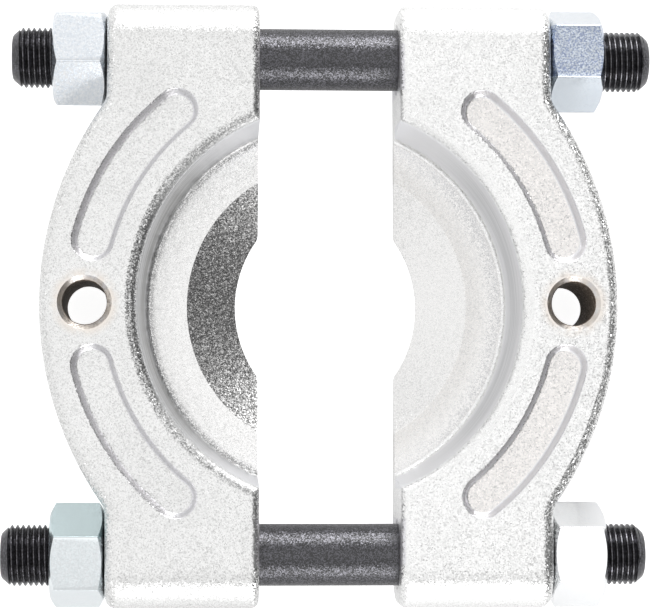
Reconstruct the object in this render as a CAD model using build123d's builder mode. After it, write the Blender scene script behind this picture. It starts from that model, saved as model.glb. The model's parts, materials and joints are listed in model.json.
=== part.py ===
from build123d import *
from math import cos, radians, tan
import os

# Bearing separator: two knife-edged halves drawn together on two threaded studs by four hexagon nuts.
# Millimetres. The separator lies on its flat machined back (Z = 0) with the recessed side up.
# X runs along the studs and Y from stud to stud. The origin is midway between the halves, on the back.

# Outline of a half
plate_thickness = 28.0
parting_gap = 36.0
boss_width = 39.2
half_length = 156.0
rim_land = 6.4
rim_nut_clearance = 1.05
rim_blend = 5.0
end_round = 10.0
rim_edge_round = 2.8
parting_edge_round = 2.0

# Recess and jaw, turned about an axis that lies beyond the parting face
recess_offset = 19.5
recess_foot_radius = 48.5
recess_foot_round = 0.6
recess_draft = 6.5
recess_mouth_round = 2.4
floor_radius = 47.6
floor_step = 0.5
floor_slope = 3.0
crest_radius = 38.2
crest_thickness = 6.9
bevel_angle = 20.5
jaw_arc_radius = 31.0
jaw_arc_depth = 6.0
jaw_corner_round = 3.0

# Pockets and puller hole, all on one pitch circle round the recess axis
pocket_land = 7.8
pocket_width = 10.6
pocket_depth = 3.4
pocket_draft = 14.0
pocket_first_angle = 14.5
pocket_last_angle = 50.5
pocket_floor_round = 0.9
pocket_mouth_round = 0.6
puller_bore_radius = 5.8
puller_bore_sink = 1.15

# Studs: plain in the middle, with a fine 5/8 in thread rolled on each end. Each lies a little to one side.
stud_length = 166.0
stud_shifts = {"upper": 1.0, "lower": -1.0}
shank_diameter = 16.0
thread_relief = 0.15
thread_length = 44.4
thread_run_out = 0.8
point_length = 2.6
point_depth = 2.0
point_round = 1.0
stud_hole_clearance = 0.5
stud_hole_sink = 0.8
stud_hole_end_wall = 5.0

# Nuts: 15/16 in across flats
nut_across_flats = 23.8125
nut_thickness = 13.9
nut_face_inset = 0.7
nut_chamfer_angle = 30.0
nut_bore_clearance = 0.06
nut_bore_sink = 0.7
nut_seat_gap = 0.3
nut_corner_angles = {"upper_left": 12.0, "lower_left": 38.0, "upper_right": 24.0, "lower_right": 28.0}

# Studs and nuts, placed from the bosses
parting_x = parting_gap / 2
boss_x = parting_x + boss_width
half_y = half_length / 2
stud_hole_radius = shank_diameter / 2 + stud_hole_clearance
stud_y = half_y - stud_hole_end_wall - stud_hole_radius
stud_z = plate_thickness / 2
stud_ys = {"upper": stud_y, "lower": -stud_y}
side_signs = {"left": -1, "right": 1}
thread_radius = shank_diameter / 2 - thread_relief
nut_start_x = boss_x + nut_seat_gap
nut_corner_radius = nut_across_flats / 2 / cos(radians(30))
nut_face_radius = nut_across_flats / 2 - nut_face_inset
nut_chamfer_depth = (nut_corner_radius - nut_face_radius) * tan(radians(nut_chamfer_angle))

# Recess, then the pockets outside its mouth, then a rim that clears the nuts' corners
recess_x = parting_x - recess_offset
floor_foot_z = crest_thickness - (floor_radius - crest_radius) * tan(radians(floor_slope))
wall_foot_z = floor_foot_z + floor_step
mouth_radius = recess_foot_radius + (plate_thickness - wall_foot_z) * tan(radians(recess_draft))
pitch_radius = mouth_radius + pocket_land + pocket_width / 2
rim_apex_x = recess_x + pitch_radius + pocket_width / 2 + rim_land
rim_rise = rim_apex_x - nut_start_x - nut_chamfer_depth
rim_pass_y = stud_y - nut_corner_radius - rim_nut_clearance
rim_radius = (rim_rise**2 + rim_pass_y**2) / rim_rise / 2
rim_join_y = (rim_radius**2 - (boss_x - rim_apex_x + rim_radius) ** 2) ** 0.5

# Cuts run this far past a face
cut_past = 1.0

os.makedirs("parts", exist_ok=True)


# Casting of the right half: every edge is rounded, and then the back is machined flat and sharp
machined_off = parting_edge_round

with BuildPart() as half_right:
    with BuildSketch(Plane.XY.offset(-machined_off)):
        with BuildLine():
            Polyline(
                (boss_x, rim_join_y),
                (boss_x, half_y),
                (parting_x, half_y),
                (parting_x, -half_y),
                (boss_x, -half_y),
                (boss_x, -rim_join_y),
            )
            ThreePointArc((boss_x, -rim_join_y), (rim_apex_x, 0), (boss_x, rim_join_y))
        make_face()
        joins = vertices().filter_by(lambda v: abs(abs(v.Y) - rim_join_y) < 0.001)
        fillet(joins, rim_blend)
    extrude(amount=plate_thickness + machined_off)

    fillet(faces().filter_by(Axis.Y).edges().filter_by(Axis.X), end_round)

    outer_walls = faces().filter_by(
        lambda f: f.center().X > boss_x - 0.001 and abs(f.normal_at().Z) < 0.001
    )
    wall_seams = outer_walls.edges().filter_by(
        lambda e: abs(e.tangent_at(0.5).Z) > 0.999 and abs(e.center().Y) < half_y - 0.001
    )
    fillet(outer_walls.edges() - wall_seams, rim_edge_round)
    fillet(faces().filter_by(Axis.X).sort_by(Axis.X)[0].edges(), parting_edge_round)
    split(bisect_by=Plane.XY, keep=Keep.TOP)

    # Recess, floor and bevelled jaw as one turned cut
    bevel_start = crest_radius - (crest_thickness + cut_past) / tan(radians(bevel_angle))
    with BuildSketch(Plane((recess_x, 0, 0), x_dir=(1, 0, 0), z_dir=(0, -1, 0))):
        with BuildLine():
            Polyline(
                (0, -cut_past),
                (bevel_start, -cut_past),
                (crest_radius, crest_thickness),
                (floor_radius, floor_foot_z),
                (floor_radius, wall_foot_z),
                (recess_foot_radius, wall_foot_z),
                (mouth_radius, plate_thickness),
                (mouth_radius + 2 * recess_mouth_round, plate_thickness),
                (mouth_radius + 2 * recess_mouth_round, plate_thickness + cut_past),
                (0, plate_thickness + cut_past),
                close=True,
            )
        make_face()
        fillet(vertices().sort_by_distance((mouth_radius, plate_thickness))[0], recess_mouth_round)
        fillet(vertices().sort_by_distance((recess_foot_radius, wall_foot_z))[0], recess_foot_round)
    revolve(axis=Axis((recess_x, 0, 0), (0, 0, 1)), mode=Mode.SUBTRACT)

    # Shaft opening in the jaw, with its corners rounded into the parting face
    jaw_arc_x = parting_x + jaw_arc_depth - jaw_arc_radius
    jaw_corner_y = (jaw_arc_radius**2 - (parting_x - jaw_arc_x) ** 2) ** 0.5
    with BuildSketch():
        with Locations((jaw_arc_x, 0)):
            Circle(jaw_arc_radius)
        with Locations((parting_x, 0)):
            Rectangle(jaw_arc_radius, 3 * jaw_corner_y, align=(Align.MAX, Align.CENTER))
        corners = vertices().filter_by(
            lambda v: abs(abs(v.Y) - jaw_corner_y) < 0.001 and v.X > jaw_arc_x
        )
        fillet(corners, jaw_corner_round)
    extrude(amount=plate_thickness, mode=Mode.SUBTRACT)

    # Kidney-shaped pockets above and below the puller hole
    pocket_arc = pocket_last_angle - pocket_first_angle
    with BuildSketch(Plane.XY.offset(plate_thickness)):
        with Locations((recess_x, 0)):
            for start in (pocket_first_angle, -pocket_last_angle):
                pocket_line = CenterArc((0, 0), pitch_radius, start, pocket_arc, mode=Mode.PRIVATE)
                SlotArc(pocket_line, pocket_width)
    extrude(amount=-pocket_depth, taper=pocket_draft, mode=Mode.SUBTRACT)
    pocket_floor_z = plate_thickness - pocket_depth
    pocket_floors = faces().filter_by(Axis.Z).filter_by(
        lambda f: abs(f.center().Z - pocket_floor_z) < 0.001
    )
    fillet(pocket_floors.edges(), pocket_floor_round)
    front_face = faces().filter_by(Axis.Z).sort_by(Axis.Z)[-1]
    fillet([e for wire in front_face.inner_wires() for e in wire.edges()], pocket_mouth_round)

    # Puller hole, sunk at both ends
    with Locations((recess_x + pitch_radius, 0, plate_thickness)):
        CounterSinkHole(puller_bore_radius, puller_bore_radius + puller_bore_sink, counter_sink_angle=90)
    back_face = faces().filter_by(Axis.Z).sort_by(Axis.Z)[0]
    chamfer(back_face.inner_wires()[0].edges(), puller_bore_sink)

    # Stud holes through both bosses
    with BuildSketch(Plane.YZ.offset(parting_x)):
        with Locations([(y, stud_z) for y in stud_ys.values()]):
            Circle(stud_hole_radius)
    extrude(amount=boss_width, mode=Mode.SUBTRACT)
    hole_mouths = edges().filter_by(GeomType.CIRCLE).filter_by(
        lambda e: abs(e.radius - stud_hole_radius) < 0.001 and abs(e.normal().X) > 0.999
    )
    chamfer(hole_mouths, stud_hole_sink)

with BuildPart() as half_left:
    mirror(half_right.part, about=Plane.YZ)

nodes = {"half_left": half_left, "half_right": half_right}


# Studs: one turned outline, mirrored end for end
stud_end_x = stud_length / 2
thread_start_x = stud_end_x - thread_length

for level, y in stud_ys.items():
    middle = (stud_shifts[level], y, stud_z)
    with BuildPart() as stud:
        with BuildSketch(Plane(middle, x_dir=(1, 0, 0), z_dir=(0, -1, 0))):
            with BuildLine():
                Polyline(
                    (0, 0),
                    (0, shank_diameter / 2),
                    (thread_start_x, shank_diameter / 2),
                    (thread_start_x + thread_run_out, thread_radius),
                    (stud_end_x - point_length, thread_radius),
                    (stud_end_x, thread_radius - point_depth),
                    (stud_end_x, 0),
                    close=True,
                )
            make_face()
            shoulders = vertices().filter_by(
                lambda v: v.X > stud_end_x - point_length - 0.001 and v.Y > 0.001
            )
            fillet(shoulders, point_round)
            mirror(about=Plane.YZ)
        revolve(axis=Axis(middle, (1, 0, 0)))
    nodes["stud_" + level] = stud


# Nuts: hexagons chamfered at both ends, each turned on its thread as it was left
nut_bore_radius = thread_radius + nut_bore_clearance

for place, corner_angle in nut_corner_angles.items():
    level, side = place.split("_")
    sign = side_signs[side]
    seat = (sign * nut_start_x, stud_ys[level], stud_z)
    with BuildPart() as nut:
        with BuildSketch(Plane(seat, x_dir=(0, 0, 1), z_dir=(1, 0, 0))):
            RegularPolygon(nut_corner_radius, 6, rotation=corner_angle)
        extrude(amount=sign * nut_thickness)
        with BuildSketch(Plane(seat, x_dir=(sign, 0, 0), z_dir=(0, -sign, 0))):
            with BuildLine():
                Polyline(
                    (0, 0),
                    (0, nut_face_radius),
                    (nut_chamfer_depth, nut_corner_radius),
                    (nut_thickness - nut_chamfer_depth, nut_corner_radius),
                    (nut_thickness, nut_face_radius),
                    (nut_thickness, 0),
                    close=True,
                )
            make_face()
        revolve(axis=Axis(seat, (1, 0, 0)), mode=Mode.INTERSECT)
        with Locations(Plane(seat, x_dir=(0, 0, 1), z_dir=(1, 0, 0))):
            Hole(nut_bore_radius)
        bore_mouths = edges().filter_by(GeomType.CIRCLE).filter_by(
            lambda e: abs(e.radius - nut_bore_radius) < 0.001
        )
        chamfer(bore_mouths, nut_bore_sink)
    nodes["nut_" + place] = nut


for name, node in nodes.items():
    node.part.label = name
    export_step(node.part, f"parts/{name}.step")
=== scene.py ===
"""Bearing separator: two cast halves drawn together on two threaded studs by four nuts, in a white studio."""

import json
import logging
import math
from collections.abc import Callable, Sequence
from dataclasses import dataclass
from enum import Enum
from itertools import pairwise

import bpy
from mathutils import Matrix, Vector

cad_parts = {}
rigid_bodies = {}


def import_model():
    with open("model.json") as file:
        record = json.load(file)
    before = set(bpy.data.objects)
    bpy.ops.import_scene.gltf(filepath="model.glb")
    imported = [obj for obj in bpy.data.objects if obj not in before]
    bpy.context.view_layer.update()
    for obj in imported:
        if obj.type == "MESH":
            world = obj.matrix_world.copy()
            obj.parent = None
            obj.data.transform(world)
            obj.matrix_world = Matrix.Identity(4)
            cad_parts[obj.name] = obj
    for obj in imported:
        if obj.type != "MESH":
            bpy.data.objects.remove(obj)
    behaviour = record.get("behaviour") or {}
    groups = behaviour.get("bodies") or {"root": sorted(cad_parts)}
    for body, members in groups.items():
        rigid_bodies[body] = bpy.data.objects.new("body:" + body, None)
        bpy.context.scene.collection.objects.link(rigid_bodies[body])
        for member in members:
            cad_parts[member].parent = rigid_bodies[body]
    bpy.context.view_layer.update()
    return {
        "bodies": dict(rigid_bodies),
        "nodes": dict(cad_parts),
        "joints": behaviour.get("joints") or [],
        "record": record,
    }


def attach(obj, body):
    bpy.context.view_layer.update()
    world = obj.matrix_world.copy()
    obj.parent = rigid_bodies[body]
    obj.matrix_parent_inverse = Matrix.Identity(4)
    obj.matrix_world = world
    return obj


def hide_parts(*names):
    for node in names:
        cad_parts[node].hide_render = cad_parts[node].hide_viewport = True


MM = 0.001
INCH = 25.4
FULL_TURN = 2 * math.pi
QUARTER_TURN = math.pi / 2
HALF_CORNER = math.radians(30)
WELD_GAP = 1e-6
CUT_GAP = 1e-8
PULLER_X = 62.5032

Socket = bpy.types.NodeSocket
Feed = Socket | float | Sequence[float]
Colour = tuple[float, float, float]
Range = tuple[float, float]
Fade = tuple[float, float]
Band = tuple[float, float, float]
Point = tuple[float, float, float]
Outline = list[tuple[float, float]]
Grain = tuple[float, ...]

log = logging.getLogger("bearing_separator")


class Side(Enum):
    """The two sides of the separator, each with its sign along X."""

    LEFT = -1
    RIGHT = 1


class Level(Enum):
    """The two studs, each with its sign along Y."""

    UPPER = 1
    LOWER = -1


# ---- workbench


class Workbench:
    """Hand tools that every piece is made with. Sizes go in as millimetres."""

    @staticmethod
    def clear_selection() -> None:
        """Deselects every object, so that an operator acts on the new piece alone."""
        if bpy.context.mode != "OBJECT":
            bpy.ops.object.mode_set(mode="OBJECT")
        bpy.ops.object.select_all(action="DESELECT")

    @staticmethod
    def take(piece: bpy.types.Object) -> None:
        """Makes a piece the selected and active one."""
        Workbench.clear_selection()
        piece.select_set(True)
        bpy.context.view_layer.objects.active = piece

    @staticmethod
    def open_mesh() -> None:
        """Opens the active piece's mesh with all of it selected."""
        bpy.ops.object.mode_set(mode="EDIT")
        bpy.ops.mesh.select_all(action="SELECT")

    @staticmethod
    def face_outwards() -> None:
        """Turns all faces of the active piece outwards, and leaves its mesh."""
        Workbench.open_mesh()
        bpy.ops.mesh.normals_make_consistent(inside=False)
        bpy.ops.object.mode_set(mode="OBJECT")

    @staticmethod
    def settle() -> None:
        """Puts the active piece's place and turn into its mesh."""
        bpy.ops.object.transform_apply(location=True, rotation=True, scale=True)

    @staticmethod
    def turned(name: str, outline: Outline, segments: int) -> bpy.types.Object:
        """Turns a closed solid about the X axis, drawn out ring by ring from a flat disc.

        Args:
            name: Name of the new object.
            outline: Points of (x, radius) in millimetres, from end to end.
            segments: Number of sides round the axis.

        Returns:
            The solid, with its place in its mesh.
        """
        start_x, start_radius = outline[0]
        Workbench.clear_selection()
        bpy.ops.mesh.primitive_circle_add(
            vertices=segments,
            radius=start_radius * MM,
            fill_type="NGON",
            location=(start_x * MM, 0, 0),
            rotation=(0, QUARTER_TURN, 0),
        )
        piece = bpy.context.object
        piece.name = name
        Workbench.settle()
        Workbench.open_mesh()
        for (x, radius), (next_x, next_radius) in pairwise(outline):
            bpy.ops.mesh.extrude_region_move(TRANSFORM_OT_translate={"value": ((next_x - x) * MM, 0, 0)})
            growth = next_radius / radius
            bpy.ops.transform.resize(value=(1, growth, growth), center_override=(next_x * MM, 0, 0))
        Workbench.face_outwards()
        return piece

    @staticmethod
    def cut_off(piece: bpy.types.Object, x: float, keep_above: bool) -> None:
        """Saws a piece square across X and closes the cut. The part above it stays, or else the one below."""
        Workbench.take(piece)
        Workbench.open_mesh()
        plane = {"plane_co": (x * MM, 0, 0), "plane_no": (1, 0, 0), "threshold": CUT_GAP}
        bpy.ops.mesh.bisect(use_fill=True, clear_inner=keep_above, clear_outer=not keep_above, **plane)
        bpy.ops.object.mode_set(mode="OBJECT")

    @staticmethod
    def combine(piece: bpy.types.Object, tool: bpy.types.Object, operation: str) -> None:
        """Applies a Boolean (UNION, DIFFERENCE or INTERSECT) with a tool, and removes the tool."""
        Workbench.take(piece)
        cut = piece.modifiers.new("cut", "BOOLEAN")
        cut.operation = operation
        cut.solver = "EXACT"
        cut.object = tool
        bpy.ops.object.modifier_apply(modifier=cut.name)
        bpy.data.objects.remove(tool)

    @staticmethod
    def duplicate(piece: bpy.types.Object, name: str) -> bpy.types.Object:
        """Copies a piece together with its mesh, under a new name."""
        copy = piece.copy()
        copy.data = piece.data.copy()
        copy.name = name
        copy.data.name = name
        bpy.context.collection.objects.link(copy)
        return copy

    @staticmethod
    def place(piece: bpy.types.Object, place: Point = (0, 0, 0), turn: float = 0.0, about: str = "X") -> None:
        """Turns and moves a piece, and puts its place into its mesh.

        Args:
            piece: The object to place.
            place: Where its origin goes, in millimetres.
            turn: Angle in radians that it turns by first.
            about: Axis of that turn.
        """
        Workbench.take(piece)
        piece.rotation_euler["XYZ".index(about)] = turn
        piece.location = [length * MM for length in place]
        Workbench.settle()

    @staticmethod
    def round_edges(piece: bpy.types.Object, chosen: Callable[[Vector, Vector], bool], width: float) -> None:
        """Rounds the edges that are chosen by their two ends.

        Args:
            piece: The object to finish.
            chosen: Tells from an edge's two ends whether it is rounded.
            width: Width that is taken off each side in millimetres.
        """
        Workbench.take(piece)
        bpy.ops.object.mode_set(mode="EDIT")
        bpy.ops.mesh.select_mode(type="EDGE")
        bpy.ops.mesh.select_all(action="DESELECT")
        bpy.ops.object.mode_set(mode="OBJECT")
        points = piece.data.vertices
        for edge in piece.data.edges:
            start, end = edge.vertices
            edge.select = chosen(points[start].co, points[end].co)
        bpy.ops.object.mode_set(mode="EDIT")
        bpy.ops.mesh.bevel(offset=width * MM, segments=3, affect="EDGES")
        bpy.ops.mesh.select_mode(type="VERT")
        bpy.ops.object.mode_set(mode="OBJECT")

    @staticmethod
    def smooth(piece: bpy.types.Object, angle: float) -> None:
        """Shades a piece smooth where its faces meet at less than an angle in degrees."""
        Workbench.take(piece)
        bpy.ops.object.shade_smooth_by_angle(angle=math.radians(angle))


@dataclass(frozen=True)
class ThreadForm:
    """A right-hand thread along X. Sizes are millimetres, and the flanks' angle is in degrees."""

    pitch: float
    crest_radius: float
    root_radius: float
    crest_flat: float
    root_sag: float = 0.05
    flank_angle: float = 30.0
    spare_turns: int = 2
    segments: int = 64

    def ridge(self) -> Outline:
        """Gives one pitch of the thread's outline, from the start of a crest to the start of the next.

        Returns:
            Points of (x, radius).
        """
        flank = (self.crest_radius - self.root_radius) * math.tan(math.radians(self.flank_angle))
        root_flat = self.pitch - self.crest_flat - 2 * flank
        root_start = self.crest_flat + flank
        return [
            (0.0, self.crest_radius),
            (self.crest_flat, self.crest_radius),
            (root_start, self.root_radius),
            (root_start + root_flat / 2, self.root_radius - self.root_sag),
            (root_start + root_flat, self.root_radius),
            (self.pitch, self.crest_radius),
        ]

    def rod(self, name: str, start: float, end: float) -> bpy.types.Object:
        """Winds a threaded rod: one ridge is drawn, swept along the helix and sawn off square at both ends.

        The helix passes X = 0 at the same angle for every rod, so rods and nuts of one form fit each other.

        Args:
            name: Name of the new object.
            start: X of one end.
            end: X of the other end, above start.

        Returns:
            The closed rod on the X axis.
        """
        first = math.floor(start / self.pitch) - self.spare_turns
        turns = math.ceil(end / self.pitch) + self.spare_turns - first
        outline = self.ridge()
        Workbench.clear_selection()
        bpy.ops.mesh.primitive_plane_add(size=MM)
        rod = bpy.context.object
        rod.name = name
        Workbench.open_mesh()
        bpy.ops.mesh.merge(type="CENTER")
        origin = (first * self.pitch * MM, outline[0][1] * MM, 0)
        bpy.ops.transform.translate(value=origin)
        for (x, radius), (next_x, next_radius) in pairwise(outline):
            step = ((next_x - x) * MM, (next_radius - radius) * MM, 0)
            bpy.ops.mesh.extrude_region_move(TRANSFORM_OT_translate={"value": step})
        bpy.ops.object.mode_set(mode="OBJECT")
        sweep = rod.modifiers.new("helix", "SCREW")
        sweep.axis = "X"
        sweep.angle = FULL_TURN
        sweep.screw_offset = self.pitch * MM
        sweep.iterations = turns
        sweep.steps = self.segments
        sweep.render_steps = self.segments
        bpy.ops.object.modifier_apply(modifier=sweep.name)
        Workbench.open_mesh()
        bpy.ops.mesh.remove_doubles(threshold=WELD_GAP)
        Workbench.cut_off(rod, start, keep_above=True)
        Workbench.cut_off(rod, end, keep_above=False)
        Workbench.face_outwards()
        return rod


# ---- finishes


class Shader:
    """A node tree that is written line by line, with sizes in millimetres."""

    def __init__(self, tree: bpy.types.NodeTree) -> None:
        """Starts from an empty tree of a material or of the world."""
        self.tree = tree
        tree.nodes.clear()

    def add(self, kind: str, feeds: dict[str | int, Feed] | None = None, **settings: object) -> bpy.types.Node:
        """Adds a node.

        Args:
            kind: Node type, without the ShaderNode prefix.
            feeds: What goes into its inputs: a socket is linked and a number is set.
            settings: Properties of the node.

        Returns:
            The node.
        """
        node = self.tree.nodes.new("ShaderNode" + kind)
        for name, value in settings.items():
            setattr(node, name, value)
        for name, value in (feeds or {}).items():
            if isinstance(value, Socket):
                self.tree.links.new(value, node.inputs[name])
            else:
                node.inputs[name].default_value = value
        return node

    def math(self, operation: str, first: Feed, second: Feed = 0.0) -> Socket:
        """Works out one sum of two numbers, by the name that the Math node has for it."""
        return self.add("Math", {0: first, 1: second}, operation=operation).outputs[0]

    def size(self, value: Feed) -> Socket:
        """Gives a number without its sign."""
        return self.math("ABSOLUTE", value)

    def rest(self, share: Feed) -> Socket:
        """Gives what a share leaves over of 1."""
        return self.math("SUBTRACT", 1.0, share)

    def either(self, first: Feed, second: Feed) -> Socket:
        """Gives the larger of two shares."""
        return self.math("MAXIMUM", first, second)

    def times(self, first: Feed, *others: Feed) -> Socket:
        """Multiplies numbers, so that each share narrows what the others leave."""
        for other in others:
            first = self.math("MULTIPLY", first, other)
        return first

    def edge(self, value: Feed, start: float, end: float) -> Socket:
        """Rises smoothly from 0 at start to 1 at end, which may lie below it."""
        feeds = {"Value": value, "From Min": start, "From Max": end}
        return self.add("MapRange", feeds, interpolation_type="SMOOTHSTEP").outputs[0]

    def band(self, value: Feed, low: float, high: float, soft: float) -> Socket:
        """Marks where a number lies between two limits, with a soft fade round each."""
        rise = self.edge(value, low - soft / 2, low + soft / 2)
        return self.times(rise, self.edge(value, high + soft / 2, high - soft / 2))

    def noise(self, place: Feed, size: float, detail: float = 2.0, rough: float = 0.5, bend: float = 0.0) -> Socket:
        """Makes grain spread round 0.5, the largest of a size in millimetres, with layers of finer grain.

        A Grain holds these numbers in this order.
        """
        feeds = {"Vector": place, "Scale": 1 / size, "Detail": detail, "Roughness": rough, "Distortion": bend}
        return self.add("TexNoise", feeds).outputs["Fac"]

    def grains(self, place: Feed, size: float) -> tuple[Socket, Socket]:
        """Breaks a surface up into angular grains, each with a number from 0 to 1 and a colour of its own."""
        colour = self.add("TexVoronoi", {"Vector": place, "Scale": 1 / size}, feature="F1").outputs["Color"]
        return self.split(colour)[0], colour

    def facets(self, lean: Socket, tilt: Feed) -> Socket:
        """Tips each grain its own way, led by its colour, with a tilt given as a slope. Gives the surface normal."""
        off = self.add("VectorMath", {0: lean, 1: (0.5, 0.5, 0.5)}, operation="SUBTRACT").outputs[0]
        scaled = self.add("VectorMath", {0: off, "Scale": tilt}, operation="SCALE").outputs[0]
        flat = self.add("NewGeometry").outputs["Normal"]
        tipped = self.add("VectorMath", {0: flat, 1: scaled}, operation="ADD").outputs[0]
        return self.add("VectorMath", {0: tipped}, operation="NORMALIZE").outputs[0]

    def mix(self, share: Feed, first: Feed, second: Feed) -> Socket:
        """Mixes two colours: the first shows at share 0 and the second at share 1."""
        node = self.add("Mix", {0: share}, data_type="RGBA")
        for socket, value in ((node.inputs[6], first), (node.inputs[7], second)):
            if isinstance(value, Socket):
                self.tree.links.new(value, socket)
            else:
                socket.default_value = (*value, 1.0)
        return node.outputs[2]

    def lerp(self, share: Feed, first: Feed, second: Feed) -> Socket:
        """Mixes two numbers: the first shows at share 0 and the second at share 1."""
        feeds = {"Value": share, "To Min": first, "To Max": second}
        return self.add("MapRange", feeds).outputs[0]

    def place(self) -> Socket:
        """Gives the point on the piece in millimetres."""
        point = self.add("TexCoord").outputs["Object"]
        return self.add("VectorMath", {0: point, "Scale": 1 / MM}, operation="SCALE").outputs[0]

    def split(self, vector: Socket) -> tuple[Socket, Socket, Socket]:
        """Takes a vector apart into its x, y and z."""
        x, y, z = self.add("SeparateXYZ", {0: vector}).outputs
        return x, y, z

    def radius(self, across: Socket, along: Socket) -> Socket:
        """Gives the distance from an upright axis, from the distances along X and along Y."""
        point = self.add("CombineXYZ", {0: across, 1: along}).outputs[0]
        return self.add("VectorMath", {0: point}, operation="LENGTH").outputs["Value"]

    def bump(self, height: Feed, depth: float, strength: Feed = 1.0, under: Socket | None = None) -> Socket:
        """Turns a height into relief.

        Args:
            height: Height as a share of depth.
            depth: Depth of the relief in millimetres.
            strength: How much of it shows.
            under: Relief that this one lies on.

        Returns:
            The surface normal.
        """
        feeds: dict[str | int, Feed] = {"Height": height, "Distance": depth * MM, "Strength": strength}
        if under is not None:
            feeds["Normal"] = under
        return self.add("Bump", feeds).outputs[0]


class Finish:
    """What a surface is finished with. Each kind writes its own shader."""

    name: str = "finish"

    def write(self, shader: Shader) -> tuple[Socket, Socket, Socket]:
        """Writes the pattern, and gives the metal's colour, roughness and normal."""
        raise NotImplementedError

    def material(self) -> bpy.types.Material:
        """Makes the material, or hands out the one already made."""
        made = bpy.data.materials.get(self.name)
        if made is not None:
            return made
        made = bpy.data.materials.new(self.name)
        made.use_nodes = True
        shader = Shader(made.node_tree)
        metal = shader.add("BsdfPrincipled", {"Metallic": 1.0})
        shader.add("OutputMaterial", {"Surface": metal.outputs[0]})
        for name, socket in zip(("Base Color", "Roughness", "Normal"), self.write(shader)):
            shader.tree.links.new(socket, metal.inputs[name])
        return made

    def dress(self, piece: bpy.types.Object) -> None:
        """Gives a piece this finish alone."""
        piece.data.materials.clear()
        piece.data.materials.append(self.material())


@dataclass(frozen=True)
class CastLayout:
    """Where the features of a casting lie, for the marks that its finish leaves on them.

    Rings are radii round the recess axis, puller ones round the puller hole, and heights are over the back, all in
    millimetres. Leans are parts of the surface normal. A Fade runs from where a mark is absent to where it is full, and
    a Band has a lower limit, an upper limit and how softly it ends at both.
    """

    recess_x: float = 1.5
    puller_x: float = PULLER_X
    plain_radius: float = 57.0
    middle: Fade = (-5.0, 5.0)
    bevel_rim: Fade = (38.0, 38.6)
    seat_ring: Fade = (39.5, 47.0)
    jaw_ring: Fade = (48.0, 47.4)
    jaw_heights: Fade = (8.5, 7.5)
    foot_ring: Band = (46.9, 48.2, 1.2)
    foot_heights: Fade = (9.5, 8.5)
    wall_ring: Band = (48.3, 51.2, 0.3)
    wall_heights: Band = (8.8, 26.6, 1.2)
    wall_ends: tuple[Band, Band] = ((47.8, 49.2, 0.3), (51.2, 53.0, 0.3))
    upper_brim: Fade = (20.0, 27.0)
    lower_brim: Fade = (14.0, 7.5)
    crest_ring: Band = (51.7, 53.5, 0.8)
    lip_ring: Band = (52.4, 53.9, 0.4)
    brow_ring: Fade = (52.5, 54.1)
    pocket_ring: Band = (58.4, 69.8, 0.4)
    pocket_heights: Band = (24.0, 27.2, 0.8)
    pocket_depths: Fade = (27.2, 26.6)
    rim_ring: Fade = (70.2, 70.8)
    puller_stain: Fade = (9.6, 6.6)
    puller_sink: Fade = (7.6, 7.0)
    back_lean: Fade = (-0.8, -0.95)
    level_lean: Fade = (0.95, 0.98)
    jaw_lean: Fade = (0.85, 0.9)
    draft_lean: Fade = (0.96, 0.85)
    slope_lean: Fade = (0.988, 0.955)
    facing_lean: Fade = (0.1, 0.3)
    slant_lean: Fade = (0.08, 0.2)
    sunlit_lean: Fade = (0.0, 0.3)
    grain: float = 0.25
    coarse_grain: float = 0.29
    swell_size: float = 3.0
    clouds: Grain = (16.0, 3.0, 0.55)
    streaks: Grain = (1.1, 3.0, 0.65)
    streak_stretch: float = 0.03


class CastMarks:
    """The marks that colour, roughness and relief of a casting share, each from 0 to 1."""

    def __init__(self, shader: Shader, layout: CastLayout) -> None:
        """Works the marks out from the place on the piece and from the way that its surface faces.

        The back is taken out of every ring, because it is one flat face.

        Args:
            shader: The material's shader.
            layout: Where the features lie.
        """
        place = shader.place()
        x, y, self.height = shader.split(place)
        reach = shader.size(x)
        self.off_middle = shader.size(y)
        self.across, along, self.upright = shader.split(shader.add("NewGeometry").outputs["Normal"])
        self.sideways = shader.edge(shader.size(along), *layout.facing_lean)
        self.level = shader.edge(self.upright, *layout.level_lean)
        self.right = shader.edge(x, *layout.middle)
        self.left = shader.rest(self.right)

        ring = shader.radius(shader.math("ADD", reach, layout.recess_x), y)
        self.ring = shader.lerp(shader.edge(self.upright, *layout.back_lean), ring, layout.plain_radius)
        wall = shader.band(self.ring, *layout.wall_ring)
        self.wall = shader.times(wall, shader.band(self.height, *layout.wall_heights))
        self.jaw = shader.times(shader.edge(self.ring, *layout.jaw_ring), shader.edge(self.height, *layout.jaw_heights))
        self.pockets = shader.band(self.ring, *layout.pocket_ring)
        puller = shader.radius(shader.math("SUBTRACT", reach, layout.puller_x), y)
        self.stained = shader.edge(puller, *layout.puller_stain)
        self.sink = shader.edge(puller, *layout.puller_sink)
        self.even = shader.either(self.wall, self.sink)

        slope = shader.edge(self.upright, *layout.slope_lean)
        slope = shader.times(slope, shader.edge(self.upright, *layout.facing_lean))
        self.slope = shader.times(slope, shader.edge(shader.size(self.across), *layout.slant_lean))
        outward = shader.times(self.right, shader.edge(self.across, *layout.facing_lean))
        sunken = shader.times(self.pockets, shader.edge(self.height, *layout.pocket_depths))
        self.sunken = shader.times(sunken, shader.rest(outward))

        self.speck, self.lean = shader.grains(place, layout.grain)
        self.coarse, self.coarse_lean = shader.grains(place, layout.coarse_grain)
        self.swell = shader.noise(place, layout.swell_size)
        self.clouds = shader.noise(place, *layout.clouds)
        run = shader.times(y, layout.streak_stretch)
        lines = shader.add("CombineXYZ", {0: self.ring, 1: run, 2: self.height}).outputs[0]
        self.streaks = shader.noise(lines, *layout.streaks)


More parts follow.
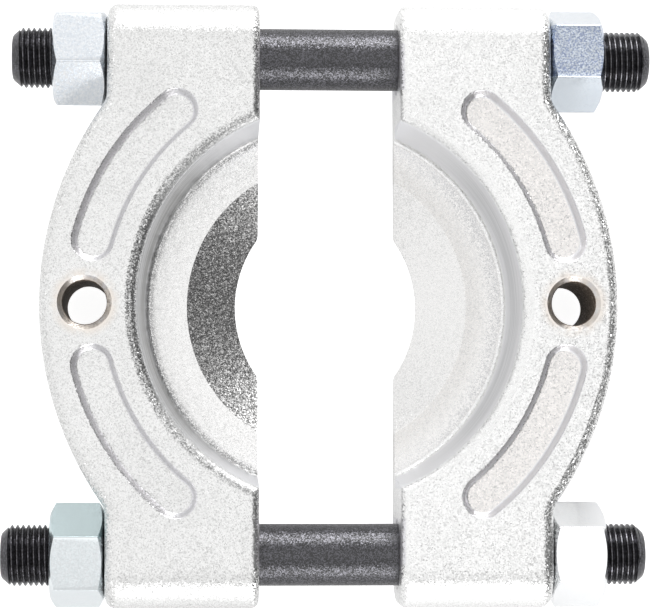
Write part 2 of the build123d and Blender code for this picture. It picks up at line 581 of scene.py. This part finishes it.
@dataclass(frozen=True)
class CastSkin(Finish):
    """Blasted and plated cast steel, with the turned recess, the marks that the tools and the wear left, and painted
    light and shade: a lighter right half, a darker left recess wall and right recess floor, shaded and lit pocket
    walls, painted highlights on the recess wall and grit painted darker on the left.
    """

    name: str = "cast_skin"
    layout: CastLayout = CastLayout()
    # Painted light: the right half takes the brighter skin and dark tone, lit copies of the left's.
    skin: Colour = (0.92, 0.92, 0.915)
    painted_lit_skin: Colour = (0.99, 0.99, 0.985)
    shade: Colour = (0.60, 0.60, 0.595)
    painted_lit_dark_tone: Colour = (0.78, 0.78, 0.775)
    floor: Colour = (0.95, 0.945, 0.94)
    # Painted shade on the right half's recess floor, darkest towards the bevel.
    painted_shade_inner_floor: Colour = (0.72, 0.705, 0.69)
    painted_shade_outer_floor: Colour = (0.82, 0.81, 0.80)
    # Painted shade: the left recess wall takes the dark copy of the turned steel, and the right one the lighter copy.
    turned: Colour = (0.26, 0.26, 0.255)
    painted_lit_turned: Colour = (0.58, 0.59, 0.61)
    # Lighter tone of the tool streaks, and painted highlight at the recess wall's brims and ends.
    polish_and_highlight: Colour = (0.86, 0.865, 0.89)
    # Dark grit at the left wall's foot and crest: cast grain, painted darker as shade, on the left half alone.
    scale: Colour = (0.20, 0.20, 0.205)
    rust: Colour = (0.84, 0.78, 0.72)
    pink: Colour = (0.93, 0.90, 0.88)
    # Pocket walls: painted shade with a purple tint, and painted light on the left half's walls that face +X.
    painted_dim_wall: Colour = (0.82, 0.815, 0.845)
    painted_lit_wall: Colour = (0.99, 0.975, 1.0)
    clouding: float = 0.15
    cloud_fade: Fade = (0.32, 0.72)
    speckling: float = 0.8
    speck_fade: Fade = (0.35, 1.0)
    bevel_share: float = 0.2
    streaking: float = 0.48
    streak_fade: Fade = (0.42, 0.66)
    # Where the painted highlight fades in along Y, and how much of it the left and right brims take.
    highlight_ends: Fade = (27.0, 45.0)
    brim_highlight_shares: Range = (0.45, 0.85)
    # How much of the grit is painted dark with shade, on the crest and overall.
    shaded_crest_grit: float = 0.75
    shaded_gritting: float = 0.65
    grit_fade: Fade = (0.35, 0.55)
    rust_fade: Fade = (0.2, 0.6)
    skin_rough: Range = (0.26, 0.38)
    jaw_rough: Range = (0.22, 0.30)
    pocket_rough: float = 0.52
    end_rough: float = 0.5
    even_rough: float = 0.30
    rough_ends: Fade = (18.0, 30.0)
    level_tilts: Range = (0.28, 0.15)
    slope_tilts: Range = (0.52, 0.26)
    rim_tilt: float = 0.8
    sink_tilt: float = 0.14
    swell_depth: float = 0.12
    swell_share: float = 0.5
    streak_depth: float = 0.05
    streak_share: float = 0.6
    brow_depth: float = 0.24
    brow_ends: Fade = (44.0, 26.0)

    def write(self, shader: Shader) -> tuple[Socket, Socket, Socket]:
        """Writes the skin's colour, roughness and normal from the marks that they share."""
        marks = CastMarks(shader, self.layout)
        return self.colour(shader, marks), self.roughness(shader, marks), self.relief(shader, marks)

    def colour(self, shader: Shader, marks: CastMarks) -> Socket:
        """Lays the tones over each other: skin painted lighter on the right half, jaw with painted shade on the right
        floor, pockets with painted light and shade on their walls, specks, turned wall with painted shade and
        highlights, grit painted darker on the left, and rust.
        """
        at = self.layout
        # Painted light: the right half gets the lighter copies of skin and dark tone.
        skin = shader.mix(marks.right, self.skin, self.painted_lit_skin)
        shade = shader.mix(marks.right, self.shade, self.painted_lit_dark_tone)
        cloudy = shader.times(shader.edge(marks.clouds, *self.cloud_fade), self.clouding)
        colour = shader.mix(cloudy, skin, shade)
        colour = shader.mix(marks.jaw, colour, self.floor)
        # Painted shade: the right half's floor, and a little of its bevel, are darkened.
        shaded_seat = shader.times(marks.jaw, shader.lerp(shader.edge(marks.ring, *at.bevel_rim), self.bevel_share, 1.0))
        painted_seat_shade = shader.mix(shader.edge(marks.ring, *at.seat_ring), self.painted_shade_inner_floor, self.painted_shade_outer_floor)
        colour = shader.mix(shader.times(shaded_seat, marks.right), colour, painted_seat_shade)
        pocket = shader.times(marks.pockets, shader.band(marks.height, *at.pocket_heights))
        colour = shader.mix(shader.times(pocket, marks.right, marks.level), colour, self.pink)
        # Painted shade on the pocket walls, and painted light where the left half's walls face +X.
        pocket_wall = shader.times(marks.pockets, shader.edge(marks.upright, *at.draft_lean))
        painted_sunlit = shader.times(marks.left, shader.edge(marks.across, *at.sunlit_lean))
        colour = shader.mix(pocket_wall, colour, shader.mix(painted_sunlit, self.painted_dim_wall, self.painted_lit_wall))
        specks = shader.times(shader.edge(marks.speck, *self.speck_fade), self.speckling)
        colour = shader.mix(specks, colour, shade)
        colour = shader.mix(marks.wall, colour, self.turned_tone(shader, marks))
        # Painted shade: the grit at the foot and crest is darkened on the left half alone.
        foot = shader.times(shader.band(marks.ring, *at.foot_ring), shader.edge(marks.height, *at.foot_heights))
        crest = shader.times(shader.band(marks.ring, *at.crest_ring), self.shaded_crest_grit)
        shaded_grit = shader.times(shader.either(foot, crest), shader.edge(marks.speck, *self.grit_fade), marks.left)
        colour = shader.mix(shader.times(shaded_grit, self.shaded_gritting), colour, self.scale)
        blotch = shader.times(marks.stained, shader.edge(marks.swell, *self.rust_fade))
        return shader.mix(blotch, colour, self.rust)

    def turned_tone(self, shader: Shader, marks: CastMarks) -> Socket:
        """Writes the recess wall's colour: painted shade that makes the left wall darker than the right, streaks round
        it, and painted highlights at its brims and towards its ends.
        """
        # Painted shade: the left wall is far darker than the right.
        tone = shader.mix(marks.right, self.turned, self.painted_lit_turned)
        streaked = shader.times(shader.edge(marks.streaks, *self.streak_fade), self.streaking)
        tone = shader.mix(streaked, tone, self.polish_and_highlight)
        # Painted highlight towards the wall's ends and at its brims.
        tone = shader.mix(shader.edge(marks.off_middle, *self.highlight_ends), tone, self.polish_and_highlight)
        upper = shader.edge(marks.height, *self.layout.upper_brim)
        brims = shader.either(upper, shader.edge(marks.height, *self.layout.lower_brim))
        return shader.mix(shader.times(brims, shader.lerp(marks.right, *self.brim_highlight_shares)), tone, self.polish_and_highlight)

    def roughness(self, shader: Shader, marks: CastMarks) -> Socket:
        """Makes grain in the gloss, duller on the pockets' slopes and where the left wall ends."""
        skin = shader.lerp(marks.coarse, *self.skin_rough)
        rough = shader.lerp(marks.jaw, skin, shader.lerp(marks.coarse, *self.jaw_rough))
        rough = shader.lerp(shader.times(marks.slope, marks.sunken), rough, self.pocket_rough)
        foot, crest = (shader.band(marks.ring, *end) for end in self.layout.wall_ends)
        ends = shader.times(shader.either(foot, crest), shader.edge(marks.off_middle, *self.rough_ends), marks.left)
        rough = shader.lerp(ends, rough, self.end_rough)
        return shader.lerp(marks.even, rough, self.even_rough)

    def relief(self, shader: Shader, marks: CastMarks) -> Socket:
        """Tips the grains, wildly on slopes and on the rim, and adds swells, tool marks and the recess's brow.

        Args:
            shader: The material's shader.
            marks: Where each part lies.

        Returns:
            The surface normal.
        """
        at = self.layout
        away = shader.rest(marks.even)
        plain = shader.either(shader.times(marks.jaw, shader.edge(marks.upright, *at.jaw_lean)), marks.sunken)
        slope = shader.times(marks.slope, shader.rest(plain))
        lip = shader.times(shader.band(marks.ring, *at.lip_ring), marks.level, marks.left)
        slope = shader.either(slope, lip)
        calm = shader.lerp(shader.times(marks.jaw, marks.level), *self.level_tilts)
        wild = shader.lerp(marks.sideways, *self.slope_tilts)
        wild = shader.lerp(shader.edge(marks.ring, *at.rim_ring), wild, self.rim_tilt)
        tilt = shader.times(away, shader.lerp(slope, calm, wild))
        tilt = shader.either(tilt, shader.times(marks.sink, self.sink_tilt))
        facets = shader.facets(shader.mix(slope, marks.lean, marks.coarse_lean), tilt)
        swells = shader.bump(marks.swell, self.swell_depth, shader.times(away, self.swell_share), facets)
        turned = shader.times(marks.wall, self.streak_share)
        tool_marks = shader.bump(marks.streaks, self.streak_depth, turned, swells)
        brow = shader.edge(marks.ring, *at.brow_ring)
        return shader.bump(brow, self.brow_depth, shader.edge(marks.off_middle, *self.brow_ends), tool_marks)


@dataclass(frozen=True)
class BlackOxide(Finish):
    """Blackened steel of the studs: satin, with fine grain along the bar."""

    name: str = "black_oxide"
    black: Colour = (0.07, 0.07, 0.072)
    worn: Colour = (0.16, 0.158, 0.175)
    thread_ends: Fade = (39.1, 38.1)
    grain: float = 0.26
    speck_fade: Fade = (0.3, 1.0)
    lines: Grain = (0.6, 2.0, 0.55)
    stretch: float = 0.15
    thread_rough: float = 0.26
    shank_rough: Range = (0.28, 0.42)
    tilts: Range = (0.08, 0.24)
    line_depth: float = 0.02
    line_share: float = 0.4

    def write(self, shader: Shader) -> tuple[Socket, Socket, Socket]:
        """Writes the drawn grain, and the specks that shine through the black."""
        place = shader.place()
        x, y, z = shader.split(place)
        speck, lean = shader.grains(place, self.grain)
        plain = shader.edge(shader.size(x), *self.thread_ends)
        drawn = shader.add("CombineXYZ", {0: shader.times(x, self.stretch), 1: y, 2: z}).outputs[0]
        lines = shader.noise(drawn, *self.lines)
        colour = shader.mix(shader.edge(speck, *self.speck_fade), self.black, self.worn)
        rough = shader.lerp(plain, self.thread_rough, shader.lerp(lines, *self.shank_rough))
        facets = shader.facets(lean, shader.lerp(plain, *self.tilts))
        return colour, rough, shader.bump(lines, self.line_depth, self.line_share, facets)


@dataclass(frozen=True)
class BlueZinc(Finish):
    """Bright zinc plate of a nut, bluish, and cloudy or tarnished to a degree that differs from nut to nut, with
    painted shade over a band across Y on some nuts.
    """

    name: str = "blue_zinc"
    bright: Colour = (0.86, 0.885, 0.91)
    deep: Colour = (0.64, 0.71, 0.79)
    tarnish: Colour = (0.30, 0.36, 0.54)
    clouding: float = 0.3
    spotting: float = 0.0
    spotted_y: Range = (58.9, 72.6)
    # Painted shade over a band across Y, which darkens one facet of a nut.
    shading: float = 0.0
    shaded_y: Range = (50.0, 58.9)
    soft: float = 0.3
    band_darkening: float = 0.75
    spots: Grain = (0.45, 2.0, 0.6)
    spot_fade: Fade = (0.4, 0.62)
    clouds: Grain = (0.8, 2.0, 0.6, 0.4)
    cloud_fade: Fade = (0.35, 0.7)
    grain: float = 0.28
    rough: Range = (0.12, 0.2)
    tilts: Range = (0.05, 0.14)
    cloud_depth: float = 0.03
    cloud_share: float = 0.4

    def write(self, shader: Shader) -> tuple[Socket, Socket, Socket]:
        """Writes the clouds of the plating, a darker band with tarnish spots, and painted shade over another band."""
        place = shader.place()
        y = shader.split(place)[1]
        clouds = shader.noise(place, *self.clouds)
        speck, lean = shader.grains(place, self.grain)
        darkened_band = shader.times(shader.band(y, *self.spotted_y, self.soft), self.spotting)
        cloudy = shader.times(shader.edge(clouds, *self.cloud_fade), self.clouding)
        colour = shader.mix(cloudy, self.bright, self.deep)
        colour = shader.mix(shader.times(speck, self.clouding), colour, self.deep)
        # Darker over the band of the main facet.
        colour = shader.mix(shader.times(darkened_band, self.band_darkening), colour, self.deep)
        # Painted shade over the band across Y.
        shaded = shader.times(shader.band(y, *self.shaded_y, self.soft), self.shading)
        colour = shader.mix(shaded, colour, self.deep)
        spots = shader.edge(shader.noise(place, *self.spots), *self.spot_fade)
        colour = shader.mix(shader.times(spots, darkened_band), colour, self.tarnish)
        facets = shader.facets(lean, shader.lerp(darkened_band, *self.tilts))
        relief = shader.bump(clouds, self.cloud_depth, self.cloud_share, facets)
        return colour, shader.lerp(clouds, *self.rough), relief


@dataclass(frozen=True)
class TappedBore(Finish):
    """The puller hole's thread, dark brown with lighter patches."""

    name: str = "tapped_bore"
    brown: Colour = (0.11, 0.085, 0.065)
    lighter_brown: Colour = (0.34, 0.29, 0.25)
    rough: Range = (0.35, 0.6)
    patches: Grain = (2.4, 3.0, 0.6)
    patch_fade: Fade = (0.3, 0.7)
    grain: float = 0.35
    speck_fade: Fade = (0.2, 1.0)
    pitting: float = 0.4
    pit_depth: float = 0.02
    pit_share: float = 0.5

    def write(self, shader: Shader) -> tuple[Socket, Socket, Socket]:
        """Writes lighter patches over the dark brown."""
        place = shader.place()
        blotch = shader.noise(place, *self.patches)
        speck = shader.grains(place, self.grain)[0]
        shown = shader.times(shader.edge(blotch, *self.patch_fade), shader.edge(speck, *self.speck_fade))
        colour = shader.mix(shown, self.brown, self.lighter_brown)
        relief = shader.bump(shader.noise(place, self.pitting), self.pit_depth, self.pit_share)
        return colour, shader.lerp(blotch, *self.rough), relief


# The nuts' finishes. The shaded bands of the tarnished and the even zinc are painted shade on one facet.
MOTTLED_ZINC = BlueZinc("mottled_zinc", bright=(0.97, 0.985, 1.0), clouding=0.5)
TARNISHED_ZINC = BlueZinc("tarnished_zinc", spotting=0.9, shading=0.5)
WHITE_ZINC = BlueZinc("white_zinc", bright=(0.985, 0.99, 0.995), clouding=0.1)
EVEN_ZINC = BlueZinc(
    "even_zinc", (0.86, 0.895, 0.915), (0.62, 0.74, 0.76), clouding=0.12, shading=0.9, shaded_y=(-59.4, -50.0)
)


# ---- pieces


@dataclass
class CastHalves:
    """The two cast halves, each with the tapped sleeve of its puller hole. Sizes are millimetres."""

    puller_x: float = PULLER_X
    tap: ThreadForm = ThreadForm(pitch=1.27, crest_radius=5.79, root_radius=5.64, crest_flat=0.5, segments=48)
    tap_past: float = 1.5
    sleeve_radius: float = 6.0
    sleeve_low: float = 1.15
    sleeve_high: float = 26.85
    smooth_angle: float = 25.0
    skin: Finish = CastSkin()
    bore: Finish = TappedBore()

    def build(self, frame: dict) -> list[bpy.types.Object]:
        """Dresses both castings and sets a sleeve in each.


        Returns:
            The castings and the sleeves.
        """
        first = self.sleeve()
        pieces = []
        for side in Side:
            body = "half_" + side.name.lower()
            casting = frame["nodes"][body]
            self.skin.dress(casting)
            sleeve = Workbench.duplicate(first, "puller_thread_" + side.name.lower())
            Workbench.place(sleeve, (side.value * self.puller_x, 0, self.sleeve_low))
            self.bore.dress(sleeve)
            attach(sleeve, body)
            pieces += [casting, sleeve]
        bpy.data.objects.remove(first)
        return pieces

    def sleeve(self) -> bpy.types.Object:
        """Cuts the hole's thread in a thin tube and stands it upright.

        Returns:
            The sleeve, on the Z axis.
        """
        length = self.sleeve_high - self.sleeve_low
        outline = [(0, self.sleeve_radius), (length, self.sleeve_radius)]
        tube = Workbench.turned("sleeve", outline, self.tap.segments)
        Workbench.combine(tube, self.tap.rod("tap", -self.tap_past, length + self.tap_past), "DIFFERENCE")
        Workbench.place(tube, turn=-QUARTER_TURN, about="Y")
        Workbench.smooth(tube, self.smooth_angle)
        return tube


@dataclass(frozen=True)
class StudLines:
    """Where the studs' axes lie, and how far each is shifted along X. Sizes are millimetres."""

    shift: float = 1.0
    y: float = 64.5
    z: float = 14.0

    def place(self, piece: bpy.types.Object, level: Level) -> None:
        """Moves a piece from the X axis to a stud's line."""
        Workbench.place(piece, (level.value * self.shift, level.value * self.y, self.z))


@dataclass
class Studs:
    """The two studs, plain in the middle and threaded at both ends. Sizes are millimetres."""

    thread: ThreadForm
    lines: StudLines = StudLines()
    length: float = 166.0
    shank_radius: float = 8.0
    thread_length: float = 44.4
    run_out: float = 0.8
    overlap: float = 0.5
    clearance: float = 0.2
    cut_past: float = 1.0
    point_length: float = 3.2
    point: tuple[Range, ...] = ((0.0, 2.45), (0.12, 2.12), (0.45, 1.72), (2.05, 0.36), (2.45, 0.08))
    collar_segments: int = 48
    smooth_angle: float = 28.0
    finish: Finish = BlackOxide()

    def build(self) -> list[bpy.types.Object]:
        """Turns and threads one stud, copies it and lays both in their places.

        Returns:
            The studs.
        """
        first = self.threaded_bar()
        studs = []
        for level in Level:
            stud = Workbench.duplicate(first, "threaded_stud_" + level.name.lower())
            self.lines.place(stud, level)
            self.finish.dress(stud)
            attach(stud, "studs")
            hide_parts("stud_" + level.name.lower())
            studs.append(stud)
        bpy.data.objects.remove(first)
        return studs

    def threaded_bar(self) -> bpy.types.Object:
        """Threads both ends of a turned bar.

        Returns:
            The bar, on the X axis.
        """
        end = self.length / 2
        start = end - self.thread_length
        bar = Workbench.turned("bar", self.outline(), self.thread.segments)
        threads = self.thread.rod("thread_right", start - self.overlap, end + self.cut_past)
        other = self.thread.rod("thread_left", -end - self.cut_past, self.overlap - start)
        Workbench.combine(threads, other, "UNION")
        taper = [
            (start + self.run_out, self.thread.root_radius - self.clearance),
            (start, self.shank_radius + self.clearance),
            (start - self.cut_past, self.shank_radius + self.cut_past),
        ]
        collar = [(-x, radius) for x, radius in taper] + taper[::-1]
        Workbench.combine(threads, Workbench.turned("collar", collar, self.collar_segments), "UNION")
        Workbench.combine(bar, threads, "INTERSECT")
        Workbench.smooth(bar, self.smooth_angle)
        return bar

    def outline(self) -> Outline:
        """Gives the bar's outline from end to end. Its points are drawn by steps from the end and below the crest.

        Returns:
            Points of (x, radius).
        """
        end = self.length / 2
        crest = self.thread.crest_radius
        point = [(end - step, crest - depth) for step, depth in self.point]
        point.append((end - self.point_length, self.shank_radius))
        return [(-x, radius) for x, radius in point] + point[::-1]


@dataclass
class HexNuts:
    """The four hexagon nuts, chamfered on both faces. Sizes are millimetres, and angles are in degrees."""

    thread: ThreadForm
    lines: StudLines = StudLines()
    across_flats: float = 23.8125
    thickness: float = 13.9
    face_inset: float = 0.7
    face_round: tuple[Range, ...] = ((0.0, -0.35), (0.06, -0.12), (0.2, 0.2))
    chamfer_angle: float = 30.0
    chamfer_past: float = 0.5
    bore_clearance: float = 0.3
    bore_sink: float = 0.9
    edge_round: float = 0.35
    cut_past: float = 1.0
    start_x: float = 57.5
    turning_segments: int = 120
    smooth_angle: float = 24.0
    seats: tuple[tuple[Level, Side, float, Finish], ...] = (
        (Level.UPPER, Side.LEFT, 12.0, MOTTLED_ZINC),
        (Level.LOWER, Side.LEFT, 38.0, EVEN_ZINC),
        (Level.UPPER, Side.RIGHT, 24.0, TARNISHED_ZINC),
        (Level.LOWER, Side.RIGHT, 28.0, WHITE_ZINC),
    )

    def build(self) -> list[bpy.types.Object]:
        """Shapes one blank, and turns, taps and seats a copy of it at each place.

        Returns:
            The nuts.
        """
        blank = self.blank()
        nuts = []
        for level, side, angle, finish in self.seats:
            place = f"{level.name.lower()}_{side.name.lower()}"
            nut = Workbench.duplicate(blank, "hex_nut_" + place)
            shift = level.value * self.lines.shift
            low = (self.start_x if side is Side.RIGHT else -self.start_x - self.thickness) - shift
            Workbench.place(nut, (low, 0, 0), math.radians(angle))
            tap = self.thread.rod("tap", low - self.cut_past, low + self.thickness + self.cut_past)
            Workbench.combine(nut, tap, "DIFFERENCE")
            self.lines.place(nut, level)
            Workbench.smooth(nut, self.smooth_angle)
            finish.dress(nut)
            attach(nut, "nut_" + place)
            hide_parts("nut_" + place)
            nuts.append(nut)
        bpy.data.objects.remove(blank)
        return nuts

    def blank(self) -> bpy.types.Object:
        """Chamfers and countersinks a hexagon, and breaks its edges.

        Returns:
            The blank, from X = 0 along the X axis, with a corner at the top.
        """
        corner = self.across_flats / 2 / math.cos(HALF_CORNER)
        high = self.thickness
        Workbench.clear_selection()
        bpy.ops.mesh.primitive_cylinder_add(
            vertices=6,
            radius=corner * MM,
            depth=high * MM,
            location=(high / 2 * MM, 0, 0),
            rotation=(0, QUARTER_TURN, 0),
        )
        nut = bpy.context.object
        Workbench.settle()
        Workbench.round_edges(nut, lambda start, end: abs(end.x - start.x) > high / 2 * MM, self.edge_round)
        Workbench.place(nut, turn=HALF_CORNER)

        face = self.across_flats / 2 - self.face_inset
        past = corner + self.chamfer_past
        sink = (past - face) * math.tan(math.radians(self.chamfer_angle))
        chamfer = [(depth, face + step) for depth, step in self.face_round] + [(sink, past)]
        cone = chamfer + [(high - x, radius) for x, radius in chamfer[::-1]]
        Workbench.combine(nut, Workbench.turned("cone", cone, self.turning_segments), "INTERSECT")

        bore = self.thread.root_radius - self.bore_clearance
        mouth = self.thread.crest_radius + self.bore_sink
        drill = [(-self.cut_past, mouth + self.cut_past), (mouth - bore, bore)]
        drill += [(high - x, radius) for x, radius in drill[::-1]]
        Workbench.combine(nut, Workbench.turned("drill", drill, self.turning_segments), "DIFFERENCE")
        return nut


# ---- studio


@dataclass(frozen=True)
class SkyPatch:
    """A round patch of the sky, even to its inner radius and faded at its outer one. Angles are degrees.

    Its middle is tilted from straight up towards +X, and then turned from +X towards +Y.
    """

    tilt: float
    turn: float
    outer: float
    inner: float

    def share(self, shader: Shader, way: Socket) -> Socket:
        """Marks the patch with a share from 0 to 1, by the way that is looked in."""
        tilt, turn = math.radians(self.tilt), math.radians(self.turn)
        middle = (math.sin(tilt) * math.cos(turn), math.sin(tilt) * math.sin(turn), math.cos(tilt))
        near = shader.add("VectorMath", {0: way, 1: middle}, operation="DOT_PRODUCT").outputs["Value"]
        return shader.edge(near, math.cos(math.radians(self.outer)), math.cos(math.radians(self.inner)))


@dataclass
class Studio:
    """A white floor, a white sky that darkens to one side, soft lamps and the camera. Sizes are millimetres."""

    camera_at: Point = (-32.45, -37.0, 654.0)
    aim_at: Point = (-0.45, 0.5, 14.0)
    lens: float = 136.1
    sensor: float = 36.0
    sight: Range = (10.0, 20000.0)
    floor_size: float = 6000.0
    floor_grain: float = 300.0
    floor_tones: tuple[Colour, Colour] = ((0.86, 0.86, 0.86), (0.9, 0.9, 0.9))
    floor_glow: float = 0.91
    mirrored_glow: float = 0.2
    fill: float = 0.72
    lifts: tuple[tuple[SkyPatch, float], ...] = (
        (SkyPatch(-45, 0, 52, 18), 0.28),
        (SkyPatch(80, -90, 50, 20), 0.08),
        (SkyPatch(80, 90, 50, 20), 0.30),
        (SkyPatch(12, -5, 27, 5), 0.55),
    )
    dark_patch: SkyPatch = SkyPatch(90, -8, 77, 56)
    dark_side: float = 0.07
    lamp_size: Range = (660.0, 600.0)
    lamp_x: float = 310.0
    lamp_tilt: float = 66.0
    lamp_reach: float = 1200.0
    lamp_glows: Range = (4.0, 6.4)

    def build(self) -> None:
        """Sets up floor, sky, lamps and camera."""
        self.floor()
        self.sky()
        self.lamps()
        self.camera()
        bpy.context.scene.view_settings.view_transform = "Standard"

    def camera(self) -> None:
        """Stands the camera above the object, aimed at its middle, with +Y up in the picture."""
        data = bpy.data.cameras.new("camera")
        camera = bpy.data.objects.new("camera", data)
        bpy.context.collection.objects.link(camera)
        data.lens = self.lens
        data.sensor_width = self.sensor
        data.clip_start, data.clip_end = (limit * MM for limit in self.sight)
        place = Vector(self.camera_at) * MM
        camera.location = place
        ahead = (Vector(self.aim_at) * MM - place).normalized()
        across = ahead.cross(Vector((0, 1, 0))).normalized()
        turn = Matrix((across, across.cross(ahead), -ahead)).transposed()
        camera.rotation_euler = turn.to_euler()
        bpy.context.scene.camera = camera

    def floor(self) -> None:
        """Lays the floor under the flat backs. It glows to the camera alone, and a little in what mirrors it."""
        Workbench.clear_selection()
        bpy.ops.mesh.primitive_plane_add(size=self.floor_size * MM, location=(0, 0, 0))
        floor = bpy.context.object
        floor.name = "floor"
        material = bpy.data.materials.new("white_floor")
        material.use_nodes = True
        shader = Shader(material.node_tree)
        tone = shader.mix(shader.noise(shader.place(), self.floor_grain), *self.floor_tones)
        paint = shader.add("BsdfDiffuse", {"Color": tone})
        path = shader.add("LightPath").outputs
        seen = shader.either(path["Is Camera Ray"], path["Is Transmission Ray"])
        mirrored = shader.times(path["Is Glossy Ray"], self.mirrored_glow)
        glow = shader.add("Emission", {"Strength": shader.either(shader.times(seen, self.floor_glow), mirrored)})
        both = shader.add("AddShader", {0: paint.outputs[0], 1: glow.outputs[0]})
        shader.add("OutputMaterial", {"Surface": both.outputs[0]})
        floor.data.materials.append(material)

    def sky(self) -> None:
        """Fills the studio with light from a white sky, lifted in some patches and dark to the right."""
        world = bpy.data.worlds.new("white_studio")
        bpy.context.scene.world = world
        world.use_nodes = True
        shader = Shader(world.node_tree)
        way = shader.add("TexCoord").outputs["Generated"]
        glow: Feed = self.fill
        for patch, lift in self.lifts:
            glow = shader.math("ADD", glow, shader.times(patch.share(shader, way), lift))
        glow = shader.lerp(self.dark_patch.share(shader, way), glow, self.dark_side)
        path = shader.add("LightPath").outputs
        strength = shader.lerp(path["Is Camera Ray"], glow, 1.0)
        background = shader.add("Background", {"Color": (1, 1, 1, 1), "Strength": strength})
        shader.add("OutputWorld", {"Surface": background.outputs[0]})

    def lamps(self) -> None:
        """Stands a wide soft lamp above the floor on each side of the studs, out of the camera's sight."""
        tilt = math.radians(self.lamp_tilt)
        for sign, glow in zip((-1, 1), self.lamp_glows):
            data = bpy.data.lights.new("soft_lamp", "AREA")
            data.shape = "RECTANGLE"
            data.size, data.size_y = (length * MM for length in self.lamp_size)
            data.energy = glow * math.pi * data.size * data.size_y
            lamp = bpy.data.objects.new("soft_lamp", data)
            bpy.context.collection.objects.link(lamp)
            way = Vector((0, sign * math.sin(tilt), math.cos(tilt)))
            lamp.location = (way * self.lamp_reach + Vector((self.lamp_x, 0, 0))) * MM
            lamp.rotation_euler = (-way).to_track_quat("-Z", "Y").to_euler()
            lamp.visible_camera = False


# ---- assembly


@dataclass
class Separator:
    """The whole tool: castings, studs and nuts, with one thread for all four joints."""

    thread: ThreadForm = ThreadForm(pitch=INCH / 18, crest_radius=7.85, root_radius=6.98, crest_flat=0.26)
    nut_thread: ThreadForm = ThreadForm(pitch=INCH / 18, crest_radius=7.93, root_radius=7.06, crest_flat=0.26)

    def build(self, frame: dict) -> None:
        """Builds and dresses every piece, and logs it.
        """
        pieces = CastHalves().build(frame) + Studs(self.thread).build() + HexNuts(self.nut_thread).build()
        for piece in pieces:
            log.info("%s: %d faces", piece.name, len(piece.data.polygons))


def main() -> None:
    """Loads the frame, and builds the separator and its studio."""
    logging.basicConfig(level=logging.INFO, format="%(message)s")
    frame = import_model()
    Studio().build()
    Separator().build(frame)


if __name__ == "__main__":
    main()
